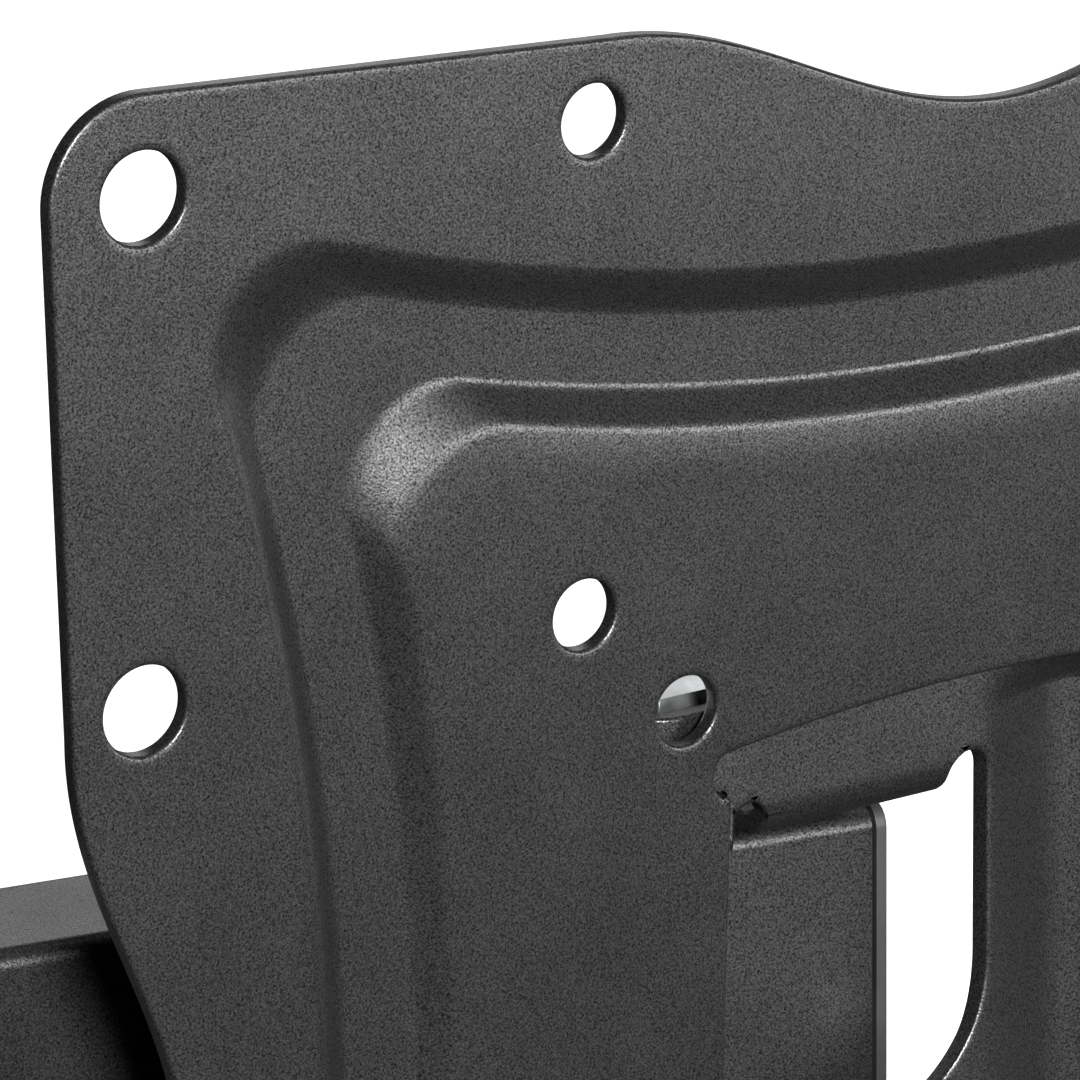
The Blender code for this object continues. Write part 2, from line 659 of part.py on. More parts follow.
def make_wall_covers():
    """Moulded covers over the ends of the wall plate, open behind and towards the hinge."""
    side = WALL_HALF_WIDTH + GAP
    end = WALL_HALF_HEIGHT + GAP
    over_plate = WALL_RAISE + WALL_SHEET + COVER_CLEARANCE
    inner_end = end + COVER_WALL - COVER_HEIGHT
    outline = rounded_rectangle(side + COVER_WALL, COVER_HEIGHT / 2, COVER_ROUND)
    for name, flip in (("wall_cover_top", 1), ("wall_cover_bottom", -1)):
        cover = prism(name, [outline], COVER_DEPTH, None, PLASTIC)
        stand = Matrix.Rotation(QUARTER, 4, "X")
        middle = flip * (inner_end + COVER_HEIGHT / 2)
        cover.data.transform(Matrix.Translation((0, -COVER_DEPTH / 2, middle)) @ stand)
        bevel = cover.modifiers.new("round", "BEVEL")
        bevel.width, bevel.segments, bevel.limit_method = COVER_WALL / 2, 2, "ANGLE"
        reach = sorted((flip * (inner_end - COVER_WALL), flip * end))
        mouth = cutter_box(name + "_mouth", (-side, -over_plate, reach[0]), (side, COVER_WALL, reach[1]))
        cut(cover, mouth)
        hollow_z = sorted((flip * (inner_end + COVER_WALL), flip * (end - COVER_WALL)))
        low = (COVER_WALL - side, COVER_WALL - COVER_DEPTH, hollow_z[0])
        high = (side - COVER_WALL, -over_plate + GAP, hollow_z[1])
        cut(cover, cutter_box(name + "_hollow", low, high))


# ---------------------------------------------------------------- rear arm


def make_rear_arm():
    """A channel whose web faces the wall and whose flanges are the lugs of both pivots."""
    half = PIVOT_INNER + CHANNEL_SHEET - CHANNEL_BEND
    start, end = CHANNEL_SETBACK, ARM_LENGTH - CHANNEL_SETBACK
    web_outline = [(start, -half), (end, -half), (end, half), (start, half)]
    points, triangles = upright(blank(web_outline))
    back = -LUG_HALF_WIDTH
    web = [point + Vector((0, back, 0)) for point in points], triangles
    past_bend = CHANNEL_BEND * (QUARTER - 1)
    pin = LUG_HALF_WIDTH + past_bend
    heel = CHANNEL_BEND * QUARTER
    chord = math.degrees(math.asin((pin - heel) / LUG_HALF_WIDTH))
    outline = [(start, 0), (end, 0), (end, heel)]
    outline += arc((ARM_LENGTH, pin), LUG_HALF_WIDTH, -chord, 90, SEGMENTS // 2)
    outline += arc((0, pin), LUG_HALF_WIDTH, 90, 180 + chord, SEGMENTS // 2) + [(start, heel)]
    middle = ARM_LENGTH * CLIP_PLACE
    pins = [circle((x, pin), PIN_RADIUS + RUN, SEGMENTS) for x in (0, ARM_LENGTH)]
    lines = fold_lines(CHANNEL_BEND, start, end)
    top = blank(outline, pins, lines=lines)
    foot = blank(outline, pins + [circle((middle, pin), CLIP_STUD_RADIUS + GAP)], lines=lines)
    along, out = (1, 0, 0), (0, 1, 0)
    upper = folded(top, (0, back, half), along, (0, 0, 1), out, CHANNEL_BEND)
    lower = folded(foot, (0, back, -half), along, (0, 0, -1), out, CHANNEL_BEND)
    sheet_object("rear_arm", [web, upper, lower], CHANNEL_SHEET, (0, -1, 0), wall_axis, STEEL)


def clip_ring(mouth_at):
    """A split ring's outline, open by CLIP_MOUTH around the direction `mouth_at`, in degrees."""
    start, end = mouth_at + CLIP_MOUTH / 2, mouth_at + 360 - CLIP_MOUTH / 2
    outer = arc((0, 0), CLIP_RADIUS, start, end, SEGMENTS)
    inner = arc((0, 0), CLIP_RADIUS - CLIP_WALL, end, start, SEGMENTS)
    return outer + inner


def along_x(mesh, place):
    """Turn a prism made about Z so that it runs along X, with its outline's Y upwards."""
    turn = Matrix(((0, 0, 1, 0), (1, 0, 0, 0), (0, 1, 0, 0), (0, 0, 0, 1)))
    mesh.transform(Matrix.Translation(place) @ turn)


def make_rear_clip():
    """A split ring under the channel, held by a barbed stud through the lower flange."""
    x = ARM_LENGTH * CLIP_PLACE
    under = -(PIVOT_INNER + CHANNEL_SHEET + GAP)
    clip = prism("cable_clip_rear", [clip_ring(-90)], CLIP_WIDTH, wall_axis, PLASTIC)
    along_x(clip.data, (x, 0, under - CLIP_RADIUS))
    base = prism("cable_clip_rear_base", [rounded_rectangle(CLIP_WIDTH / 2, CLIP_RADIUS / 2, CLIP_WALL)],
                 CLIP_WALL, wall_axis, None, CUTTERS)
    base.data.transform(Matrix.Translation((x, 0, under - CLIP_WALL / 2)))
    join(clip, base)
    stud_foot = under - CLIP_WALL / 2
    barb = -PIVOT_INNER + GAP
    tip = barb + CLIP_WALL
    wide = CLIP_STUD_RADIUS + 2 * GAP + CLIP_WALL / 2
    profile = [(0, tip), (CLIP_STUD_RADIUS / 2, tip), (wide, barb), (CLIP_STUD_RADIUS, barb)]
    profile += [(CLIP_STUD_RADIUS, stud_foot), (0, stud_foot)]
    join(clip, turned("cable_clip_rear_stud", profile, wall_axis, None, (x, 0, 0), collection=CUTTERS))


# ---------------------------------------------------------------- front arm


def tube_section(shrink):
    half_depth, half_height = TUBE_DEPTH / 2 - shrink, TUBE_HEIGHT / 2 - shrink
    return rounded_rectangle(half_depth, half_height, max(TUBE_CORNER - shrink, TUBE_CORNER / 4))


def make_front_arm():
    length = ARM_LENGTH + TUBE_NOSE + TUBE_TAIL
    middle = (ARM_LENGTH + TUBE_NOSE - TUBE_TAIL) / 2
    arm = prism("front_arm", [tube_section(0), tube_section(TUBE_WALL)], length, elbow_axis, STEEL)
    along_x(arm.data, (middle, 0, 0))
    for name, x in (("elbow_bore", 0), ("head_bore", ARM_LENGTH)):
        radius = PIN_RADIUS + BUSH_WALL + RUN
        cut(arm, cutter_cylinder(name, radius, 2 * TUBE_HEIGHT, elbow_axis, (x, 0, 0)))


def make_end_cap(name, x, direction):
    """A plug in the tube's end with a rim over its edge."""

    def ring(shrink, at):
        return [(x + direction * at, y, z) for y, z in tube_section(shrink)]

    inside_wall = TUBE_WALL + GAP
    edge = CAP_PROUD / 2
    rings = [
        ring(inside_wall + edge, GAP - CAP_PLUG),
        ring(inside_wall, GAP - CAP_PLUG + edge),
        ring(inside_wall, GAP),
        ring(-CAP_PROUD, GAP),
        ring(-CAP_PROUD, CAP_RIM - edge),
        ring(edge - CAP_PROUD, CAP_RIM),
    ]
    loft(name, rings, elbow_axis, PLASTIC)


def make_front_clip():
    """A band round the tube with a split ring below it."""
    inner = rounded_rectangle(TUBE_DEPTH / 2 + GAP, TUBE_HEIGHT / 2 + GAP, TUBE_CORNER)
    reach = GAP + CLIP_WALL
    outer = rounded_rectangle(TUBE_DEPTH / 2 + reach, TUBE_HEIGHT / 2 + reach, TUBE_CORNER + CLIP_WALL)
    x = ARM_LENGTH * CLIP_PLACE
    clip = prism("cable_clip_front", [outer, inner], CLIP_WIDTH, elbow_axis, PLASTIC)
    along_x(clip.data, (x, 0, 0))
    ring = prism("cable_clip_front_ring", [clip_ring(-90)], CLIP_WIDTH, elbow_axis, None, CUTTERS)
    along_x(ring.data, (x, 0, -TUBE_HEIGHT / 2 - GAP - CLIP_WALL / 2 - CLIP_RADIUS))
    join(clip, ring)


# ---------------------------------------------------------------- tilt head


def eased(share):
    """From 0 to 1 along a straight slope with rounded ends."""
    share = min(max(share, 0.0), 1.0)
    bend = 2 * GROOVE_ROUND * (1 - GROOVE_ROUND)
    if share < GROOVE_ROUND:
        return share * share / bend
    if share > 1 - GROOVE_ROUND:
        return 1 - (1 - share) * (1 - share) / bend
    return (share - GROOVE_ROUND / 2) / (1 - GROOVE_ROUND)


def groove(x, z):
    """Depth of the bracket's pressed groove, which runs out under the plate's edge."""
    past = x - GROOVE_START - GROOVE_LEFT
    across = 1 + (past / GROOVE_LEFT if past < 0 else -past / GROOVE_RIGHT)
    return GROOVE_DEPTH * eased(across) * eased((GROOVE_TOP - z) / (GROOVE_TOP - GROOVE_FULL))


def ear_patch(z_low, z_high, reach, radius, ear_radius, hole_radius):
    """An ear with a round end about a pin `reach` behind its parent's face; the pin is at u = 0."""
    pin = reach - radius + radius * QUARTER
    fold_end = radius * QUARTER
    end = arc((0, pin), ear_radius, -30, 210, SEGMENTS // 2)
    outline = [(z_low, 0), (z_high, 0), (z_high, fold_end)] + end + [(z_low, fold_end)]
    hole = circle((0, pin), hole_radius, SEGMENTS)
    return blank(outline, [hole], lines=fold_lines(radius, z_low, z_high))


def relief(x, radius, fold):
    """The round top of the relief beside a lug, up its far side and over to the fold's level."""
    centre = (x, fold + RELIEF_RISE - radius)
    return arc(centre, radius, 180, math.degrees(math.asin((radius - RELIEF_RISE) / radius)), 8)


def root(radius):
    """The rest of the same round on the lug's own side, from the fold to the lug's straight side."""
    depth = radius - RELIEF_RISE
    fold_step = LUG_BEND * QUARTER / BEND_SEGMENTS
    levels = [fold_step * i for i in range(BEND_SEGMENTS) if fold_step * i < depth] + [depth]
    reach = LUG_HALF_WIDTH + radius
    return [(reach - math.sqrt(radius * radius - (depth - level) ** 2), level) for level in levels]


def make_head_bracket():
    """A web with a cross bar, two swivel lugs turned back from it, and a tilt ear at each end."""
    stem_half = CUTOUT_HALF_WIDTH - HEAD_STEM_MARGIN
    left, right = HEAD_CENTRE - stem_half, HEAD_CENTRE + stem_half
    fold_left = HEAD_CENTRE - HEAD_EAR_FACE + EAR_BEND
    fold_right = HEAD_CENTRE + HEAD_EAR_FACE - EAR_BEND
    top_fold = PIVOT_INNER + LUG_BEND
    foot_fold = LUG_BEND - PIVOT_INNER - HEAD_SHEET
    lug = LUG_HALF_WIDTH
    window_right = lug + RELIEF_RIGHT_WIDTH
    tab_right = -lug - RELIEF_LEFT_WIDTH
    left_radius, right_radius = RELIEF_LEFT_WIDTH / 2, RELIEF_RIGHT_WIDTH / 2
    outline = [(fold_left, HEAD_TOP), (fold_left, HEAD_STEP_FOOT), (left, HEAD_STEP_FOOT)]
    outline += [(left, HEAD_TAB_FOOT), (tab_right, HEAD_TAB_FOOT)]
    outline += relief(tab_right + left_radius, left_radius, top_fold)
    outline += mirrored(relief(right_radius - window_right, right_radius, top_fold))
    outline += arc((0, WINDOW_CENTRE_HEIGHT), window_right, 0, -90, 12)
    outline += [(-lug, WINDOW_CENTRE_HEIGHT - window_right), (-lug, foot_fold)]
    outline += arc((window_right - right_radius, foot_fold), right_radius, 180, 0, 8)
    outline += [(window_right, -HEAD_FOOT)]
    corner = (right - HEAD_CORNER_RADIUS, HEAD_CORNER_RADIUS - HEAD_FOOT)
    outline += arc(corner, HEAD_CORNER_RADIUS, -90, 0, CORNER_SEGMENTS)
    outline += [(right, HEAD_STEP_FOOT), (fold_right, HEAD_STEP_FOOT), (fold_right, HEAD_TOP)]
    spread = GROOVE_LEFT + GROOVE_RIGHT
    groove_lines = [GROOVE_START + spread * i / GROOVE_STEPS for i in range(GROOVE_STEPS + 1)]
    above_relief = top_fold + 2 * RELIEF_RISE
    lines = [((x, above_relief if x < window_right else -HEAD_TOP), (x, 2 * HEAD_TOP)) for x in groove_lines]
    end_step = (GROOVE_TOP - GROOVE_FULL) / GROOVE_END_STEPS
    levels = [GROOVE_FULL + end_step * i for i in range(GROOVE_END_STEPS + 1)]
    lines += [((GROOVE_START, z), (GROOVE_START + spread, z)) for z in levels]
    points, triangles = upright(blank(outline, lines=lines), groove)
    front = -HEAD_WEB_FRONT
    web = [point + Vector((0, front, 0)) for point in points], triangles
    lug_sizes = (lug, HEAD_WEB_FRONT, LUG_BEND, PIN_RADIUS + RUN)
    top_patch = lug_patch(*lug_sizes, root(left_radius), root(right_radius))
    foot_patch = lug_patch(*lug_sizes)
    across, back, down = (1, 0, 0), (0, 1, 0), (0, 0, -1)
    top_lug = folded(top_patch, (0, front, top_fold), across, down, back, LUG_BEND)
    foot_lug = folded(foot_patch, (0, front, foot_fold), across, down, back, LUG_BEND)
    z_low, z_high = HEAD_STEP_FOOT - TILT_AXIS_HEIGHT, HEAD_TOP - TILT_AXIS_HEIGHT
    hole = TILT_PIN_RADIUS + RUN
    ear = ear_patch(z_low, z_high, TILT_AXIS_BEHIND_WEB, EAR_BEND, EAR_RADIUS, hole)
    up = (0, 0, 1)
    left_ear = folded(ear, (fold_left, front, TILT_AXIS_HEIGHT), up, (-1, 0, 0), back, EAR_BEND)
    right_ear = folded(ear, (fold_right, front, TILT_AXIS_HEIGHT), up, (1, 0, 0), back, EAR_BEND)
    patches = [web, top_lug, foot_lug, left_ear, right_ear]
    sheet_object("head_bracket", patches, HEAD_SHEET, (0, -1, 0), head_axis, STEEL)


def make_tilt_hardware():
    """Bolt, nut and washers on the tilt axis at each end of the bracket."""
    y, z = -TILT_AXIS_AHEAD, TILT_AXIS_HEIGHT
    bore = TILT_PIN_RADIUS + RUN
    for side, name in ((-1, "left"), (1, "right")):
        turn = (0, side * QUARTER, 0)

        def at(distance):
            return (HEAD_CENTRE + side * distance, y, z)

        head_at = PLATE_EAR_FACE + HEAD_SHEET + GAP
        washer_at = HEAD_EAR_FACE - HEAD_SHEET - GAP - TILT_WASHER
        nut_at = washer_at - GAP - TILT_NUT
        length = head_at - nut_at + 2 * GAP
        hex_bolt("tilt_bolt_" + name, TILT_PIN_RADIUS, length, TILT_HEAD, TILT_HEX_RADIUS, head_axis, ZINC,
                 at(head_at), turn)
        hex_nut("tilt_nut_" + name, bore, TILT_NUT, TILT_HEX_RADIUS, head_axis, ZINC,
                at(nut_at + TILT_NUT / 2), turn)
        washer = washer_profile(bore, TILT_WASHER_RADIUS, 0, TILT_WASHER)
        turned("tilt_washer_" + name, washer, head_axis, ZINC, at(washer_at), turn)
        friction = washer_profile(bore, EAR_RADIUS, 0, FRICTION_WASHER)
        turned("friction_washer_" + name, friction, head_axis, NYLON, at(HEAD_EAR_FACE + GAP), turn)


# ---------------------------------------------------------------- screen plate


def grid_holes():
    holes = []
    for x_size, z_size in (
        (GRID_LARGE, GRID_LARGE),
        (GRID_LARGE, GRID_MEDIUM),
        (GRID_MEDIUM, GRID_LARGE),
        (GRID_MEDIUM, GRID_MEDIUM),
        (GRID_SMALL, GRID_SMALL),
    ):
        radius = HOLE_LARGE_RADIUS if x_size == GRID_LARGE else HOLE_SMALL_RADIUS
        holes += [circle((x, z), radius) for x in (-x_size, x_size) for z in (-z_size, z_size)]
    return holes


def rolled(share):
    """Height at a share of the inner step's width, from 0 at its foot to 1: the area under its slope."""

    def area(limit):
        total = 0.0
        for (u0, s0), (u1, s1) in zip(RING_ROLL, RING_ROLL[1:]):
            if limit > u0:
                u = min(limit, u1)
                s = s0 + (s1 - s0) * (u - u0) / (u1 - u0)
                total += (s0 + s) / 2 * (u - u0)
        return total

    return area(share) / area(1.0)


def make_screen_plate():
    """A four-lobed plate with a pressed ring around a raised middle and its opening."""
    outer_run, inner_run = RING_OUTER_FOOT - RING_OUTER_TOP, RING_INNER_TOP - RING_INNER_FOOT
    steps = [(RING_OUTER_TOP + outer_run * u, u * u * (3 - 2 * u)) for u in RING_OUTER_SHARES]
    steps += [(RING_INNER_FOOT + inner_run * u, 1 - rolled(u)) for u in RING_INNER_SHARES]
    levels, rings = [], []
    for middle, depth in steps:
        ring = ring_contour(middle)
        rings.append(ring)
        levels += [(x, z, RING_DEPTH * depth) for x, z in ring]

    def pressed(x, z):
        return level_at(levels, x, z)

    holes = grid_holes() + [cutout_outline()]
    points, triangles = upright(blank(plate_outline(), holes, rings), pressed)
    centre = Vector((0, -TILT_AXIS_BEHIND_PLATE, -TILT_AXIS_ABOVE_CENTRE))
    patch = [point + centre for point in points], triangles
    sheet_object("screen_plate", [patch], PLATE_SHEET, (0, -1, 0), tilt_axis, STEEL)


def make_plate_ears():
    """An angle behind each side of the plate's middle, with its ear outside the bracket's ear."""
    foot_face = PLATE_SHEET + GAP - TILT_AXIS_BEHIND_PLATE
    for side, name in ((-1, "left"), (1, "right")):
        # The ear's own outer face looks away from the foot, so the skin is on the bracket's side.
        fold_at = PLATE_EAR_FACE + EAR_BEND
        foot_end = fold_at + EAR_FOOT_LENGTH
        corner = 2 * CUTOUT_NOTCH_WIDTH
        low, high = -EAR_FOOT_DROP, EAR_FOOT_RISE
        outline = [(fold_at, low)] + arc((foot_end - corner, low + corner), corner, -90, 0, 4)
        outline += arc((foot_end - corner, high - corner), corner, 0, 90, 4) + [(fold_at, high)]
        points, triangles = upright(blank([(side * x, z) for x, z in outline]))
        foot = [point + Vector((0, foot_face, 0)) for point in points], triangles
        reach = -foot_face
        hole = TILT_PIN_RADIUS + RUN
        patch = ear_patch(low, high, reach, EAR_BEND, EAR_RADIUS, hole)
        origin = (side * fold_at, foot_face, 0)
        ear = folded(patch, origin, (0, 0, 1), (-side, 0, 0), (0, 1, 0), EAR_BEND)
        sheet_object("plate_ear_" + name, [foot, ear], HEAD_SHEET, (0, -1, 0), tilt_axis, STEEL)


# ---------------------------------------------------------------- assembly

make_wall_plate()
make_hinge_bracket()
make_rivets()
make_wall_covers()
pivot_bushes("wall", None, TUBE_HEIGHT / 2, (0, -PIVOT_OUT, 0))

make_rear_arm()
pivot_bolt("wall_pivot", wall_axis, CHANNEL_SHEET)
pivot_bolt("elbow", wall_axis, CHANNEL_SHEET, (ARM_LENGTH, 0, 0))
make_rear_clip()

make_front_arm()
make_end_cap("front_arm_cap_head", ARM_LENGTH + TUBE_NOSE, 1)
make_end_cap("front_arm_cap_elbow", -TUBE_TAIL, -1)
pivot_bushes("elbow", elbow_axis, TUBE_HEIGHT / 2)
pivot_bushes("head", elbow_axis, TUBE_HEIGHT / 2, (ARM_LENGTH, 0, 0))
make_front_clip()

make_head_bracket()
pivot_bolt("head", head_axis, HEAD_SHEET)
make_tilt_hardware()

make_screen_plate()
make_plate_ears()

for made in PARTS.objects:
    if made.type == "MESH" and "sheet" not in made.modifiers:
        smooth(made.data)
bpy.context.view_layer.update()
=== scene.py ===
"""Looks for a full-motion wall mount for a flat screen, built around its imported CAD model."""

import json
import math

import bmesh
import bpy
from mathutils import Matrix, Vector
from mathutils.geometry import delaunay_2d_cdt


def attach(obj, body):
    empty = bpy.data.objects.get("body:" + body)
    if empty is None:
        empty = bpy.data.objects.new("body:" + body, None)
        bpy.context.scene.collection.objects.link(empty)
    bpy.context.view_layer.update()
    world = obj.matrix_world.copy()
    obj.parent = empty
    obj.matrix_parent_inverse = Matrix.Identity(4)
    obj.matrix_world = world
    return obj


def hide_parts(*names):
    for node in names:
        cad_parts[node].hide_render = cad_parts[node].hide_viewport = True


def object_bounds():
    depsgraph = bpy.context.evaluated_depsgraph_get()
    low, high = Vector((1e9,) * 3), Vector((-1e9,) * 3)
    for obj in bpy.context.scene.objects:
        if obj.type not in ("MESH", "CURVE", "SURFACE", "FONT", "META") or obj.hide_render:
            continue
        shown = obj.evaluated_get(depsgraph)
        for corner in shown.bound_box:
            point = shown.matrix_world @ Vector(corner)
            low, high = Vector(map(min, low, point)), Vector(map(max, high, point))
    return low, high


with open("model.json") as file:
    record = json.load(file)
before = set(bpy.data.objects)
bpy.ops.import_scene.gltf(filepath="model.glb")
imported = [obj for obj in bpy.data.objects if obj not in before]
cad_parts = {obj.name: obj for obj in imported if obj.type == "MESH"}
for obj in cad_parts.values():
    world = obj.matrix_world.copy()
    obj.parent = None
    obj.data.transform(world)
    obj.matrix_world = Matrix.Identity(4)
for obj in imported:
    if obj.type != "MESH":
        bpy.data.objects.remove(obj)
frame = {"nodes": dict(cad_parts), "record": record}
CAD_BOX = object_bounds()

MM = 0.001
QUARTER = math.pi / 2
MERGE = 1e-6

NODES = frame["nodes"]
RECORD = frame["record"]
JOINT_AT = {joint["name"]: Vector(joint["pos_m"]) for joint in RECORD["behaviour"]["joints"]}
BODY_OF = {node: body for body, nodes in RECORD["behaviour"]["bodies"].items() for node in nodes}
SLOT_OF = {entry["node"]: entry["material_slot"] for entry in RECORD["subparts"]}

# Where the head and the plate stand at rest
PLATE_TILT = math.radians(3.0)
HEAD_CENTRE = 13.3 * MM
TILT_AXIS_BEHIND_PLATE = 12.0 * MM
TILT_AXIS_ABOVE_CENTRE = 33.0 * MM
HEAD_PLACE = Matrix.Translation(JOINT_AT["head_swivel"])
TILT_PLACE = Matrix.Translation(JOINT_AT["plate_tilt"]) @ Matrix.Rotation(PLATE_TILT, 4, "X")
PLATE_CENTRE = Vector((0, -TILT_AXIS_BEHIND_PLATE, -TILT_AXIS_ABOVE_CENTRE))
PLATE_PLACE = TILT_PLACE @ Matrix.Translation(PLATE_CENTRE)

# Screen plate
PLATE_SHEET = 2.0 * MM
PLATE_HALF = 107.9 * MM
PLATE_SCALLOP_DEPTH = 12.6 * MM
PLATE_SCALLOP_HALF = 48.0 * MM
PLATE_SIDE_SLOPE = 0.04
PLATE_CORNER_RADIUS = 10.0 * MM
GRID_LARGE, GRID_MEDIUM, GRID_SMALL = 100.0 * MM, 50.0 * MM, 37.5 * MM
HOLE_LARGE_RADIUS, HOLE_SMALL_RADIUS = 4.5 * MM, 3.65 * MM
RING_DEPTH = 2.8 * MM
RING_OUTER_TOP, RING_OUTER_FOOT = 80.8 * MM, 75.2 * MM
RING_INNER_FOOT, RING_INNER_TOP = 68.4 * MM, 59.5 * MM
RING_ROLL = ((0.0, 0.0), (0.12, 1.0), (0.38, 1.0), (0.5, 0.13), (1.0, 0.0))
RING_SIDE_RADIUS = 260.0 * MM
RING_CORNER_RADIUS = 10.7 * MM
RING_STEPS, ROLL_STEPS = 10, 25
CUTOUT_HALF_WIDTH, CUTOUT_HALF_HEIGHT = 31.6 * MM, 34.2 * MM
CUTOUT_ARCH = 2.2 * MM
CUTOUT_NOTCH_WIDTH = 2.2 * MM
CUTOUT_NOTCH_FOOT = 27.0 * MM

# Tilt head bracket
HEAD_SHEET = 2.3 * MM
HEAD_WEB_FRONT = 24.9 * MM
HEAD_TOP = 36.4 * MM
HEAD_STEP_FOOT = 27.2 * MM
HEAD_TAB_FOOT = 20.8 * MM
HEAD_FOOT = 24.0 * MM
HEAD_STEM_MARGIN = 1.2 * MM
HEAD_CORNER_RADIUS = 6.0 * MM
HEAD_EAR_FACE = 39.8 * MM
LUG_HALF_WIDTH = 11.8 * MM
LUG_BEND = 4.4 * MM
PIVOT_INNER = 20.7 * MM
PIN_BORE = 4.05 * MM
RELIEF_LEFT_WIDTH, RELIEF_RIGHT_WIDTH = 4.1 * MM, 4.8 * MM
RELIEF_RISE = 0.35 * MM
WINDOW_CENTRE_HEIGHT = 2.8 * MM
GROOVE_START, GROOVE_DEPTH = 14.6 * MM, 3.5 * MM
GROOVE_LEFT, GROOVE_RIGHT = 14.5 * MM, 6.0 * MM
GROOVE_TOP, GROOVE_FULL = 34.2 * MM, 29.4 * MM
GROOVE_ROUND = 0.25
GROOVE_STEPS, GROOVE_END_STEPS = 26, 10
TILT_AXIS_BEHIND_WEB = 8.6 * MM
TILT_AXIS_HEIGHT = 34.4 * MM
TILT_BORE = 3.05 * MM
EAR_RADIUS = 7.5 * MM
EAR_BEND = 4.0 * MM

HOLE_SEGMENTS = 56
CORNER_SEGMENTS = 10
BEND_SEGMENTS = 9
EDGE_ROUND = 0.4 * MM
EDGE_BAND = 1.0 * MM  # a line of points this far in from each cut edge
NUT_ROUND = 1.2 * MM
SMALL_ROUND = 0.3 * MM
SOFTENED_ANGLE = 38  # degrees; flatter edges aren't rounded

# Surface patterns: repeats in a metre, and the height of the relief
COAT_GRAIN, COAT_WAVES, COAT_RELIEF = 4600, 90, 0.06 * MM
ZINC_BLOTCHES, ZINC_GRAIN, ZINC_RELIEF = 260, 2600, 0.03 * MM
PLASTIC_CLOUDS, PLASTIC_RELIEF = 120, 0.04 * MM
COAT_DARK, COAT_LIGHT = (0.002, 0.002, 0.0022), (0.011, 0.0113, 0.0116)

# The camera's place from the plate's middle, in the plate's axes, and its turns in degrees
CAMERA_PLACE = Vector((-410.64, -515.46, 277.80)) * MM
CAMERA_YAW, CAMERA_PITCH, CAMERA_ROLL = 34.564, 19.281, 0.923
CAMERA_LENS = 228.67
FLOOR_HALF, FLOOR_DROP = 12, 0.15


# ---------------------------------------------------------------- flat outlines


def arc(centre, radius, start, end, steps):
    angles = [math.radians(start + (end - start) * i / steps) for i in range(steps + 1)]
    return [(centre[0] + radius * math.cos(a), centre[1] + radius * math.sin(a)) for a in angles]


def circle(centre, radius, steps=HOLE_SEGMENTS):
    return arc(centre, radius, 0, 360, steps)[:-1]


def four_fold(quarter):
    loop = []
    for turn in range(4):
        c, s = round(math.cos(turn * QUARTER)), round(math.sin(turn * QUARTER))
        loop += [(c * x - s * y, s * x + c * y) for x, y in quarter]
    return loop


def mirrored(points):
    return [(-x, y) for x, y in reversed(points)]


def plate_outline():
    dips = 44

    def side(x):
        if abs(x) <= PLATE_SCALLOP_HALF:
            wave = (1 + math.cos(math.pi * x / PLATE_SCALLOP_HALF)) / 2
            return PLATE_HALF - PLATE_SCALLOP_DEPTH * wave
        return PLATE_HALF + PLATE_SIDE_SLOPE * (abs(x) - PLATE_SCALLOP_HALF)

    places = [i * PLATE_SCALLOP_HALF / dips for i in range(dips, -1, -1)]
    right = [(x, side(x)) for x in places]
    slope = math.degrees(math.atan(PLATE_SIDE_SLOPE))
    apex = (PLATE_HALF - PLATE_SIDE_SLOPE * PLATE_SCALLOP_HALF) / (1 - PLATE_SIDE_SLOPE)
    inset = PLATE_CORNER_RADIUS * math.hypot(PLATE_SIDE_SLOPE, 1) / (1 - PLATE_SIDE_SLOPE)
    corner = arc((apex - inset, apex - inset), PLATE_CORNER_RADIUS, 45, 90 + slope, CORNER_SEGMENTS)
    quarter = corner + right
    return four_fold(quarter + mirrored(quarter[1:-1]))


def ring_contour(middle):
    side_steps, corner_steps = 26, 12

    def shortfall(x):
        lean = math.atan(x / RING_SIDE_RADIUS)
        reach = RING_CORNER_RADIUS * (math.sin(lean) + math.cos(lean))
        return middle + x * x / (2 * RING_SIDE_RADIUS) - x - reach

    low, high = 0.0, middle
    for _ in range(40):
        x = (low + high) / 2
        low, high = (x, high) if shortfall(x) > 0 else (low, x)
    lean = math.atan(x / RING_SIDE_RADIUS)
    centre = x + RING_CORNER_RADIUS * math.sin(lean)
    corner = arc((centre, centre), RING_CORNER_RADIUS, 45, 90 + math.degrees(lean), corner_steps)
    run = [x * (1 - i / side_steps) for i in range(1, side_steps)]
    side = [(u, middle + u * u / (2 * RING_SIDE_RADIUS)) for u in run]
    quarter = corner + side + [(0, middle)]
    return four_fold(quarter + mirrored(quarter[1:-1]))


def cutout_outline():
    steps = 30
    shares = [i / steps for i in range(steps + 1)]
    arch = [(CUTOUT_HALF_WIDTH * share, CUTOUT_HALF_HEIGHT - CUTOUT_ARCH * share * share) for share in shares]
    shoulder = CUTOUT_HALF_HEIGHT - CUTOUT_ARCH
    radius = CUTOUT_NOTCH_WIDTH
    notch = arc((CUTOUT_HALF_WIDTH, shoulder - radius), radius, 80, 0, 8)
    notch += arc((CUTOUT_HALF_WIDTH, CUTOUT_NOTCH_FOOT + radius), radius, 0, -75, 8)
    lip = CUTOUT_NOTCH_WIDTH / 4
    notch += arc((CUTOUT_HALF_WIDTH + lip, CUTOUT_NOTCH_FOOT - lip), lip, 90, 180, 4)
    upper_right = arch + notch + [(CUTOUT_HALF_WIDTH, 0)]
    right = upper_right + [(x, -y) for x, y in reversed(upper_right[:-1])]
    return right + mirrored(right[1:-1])


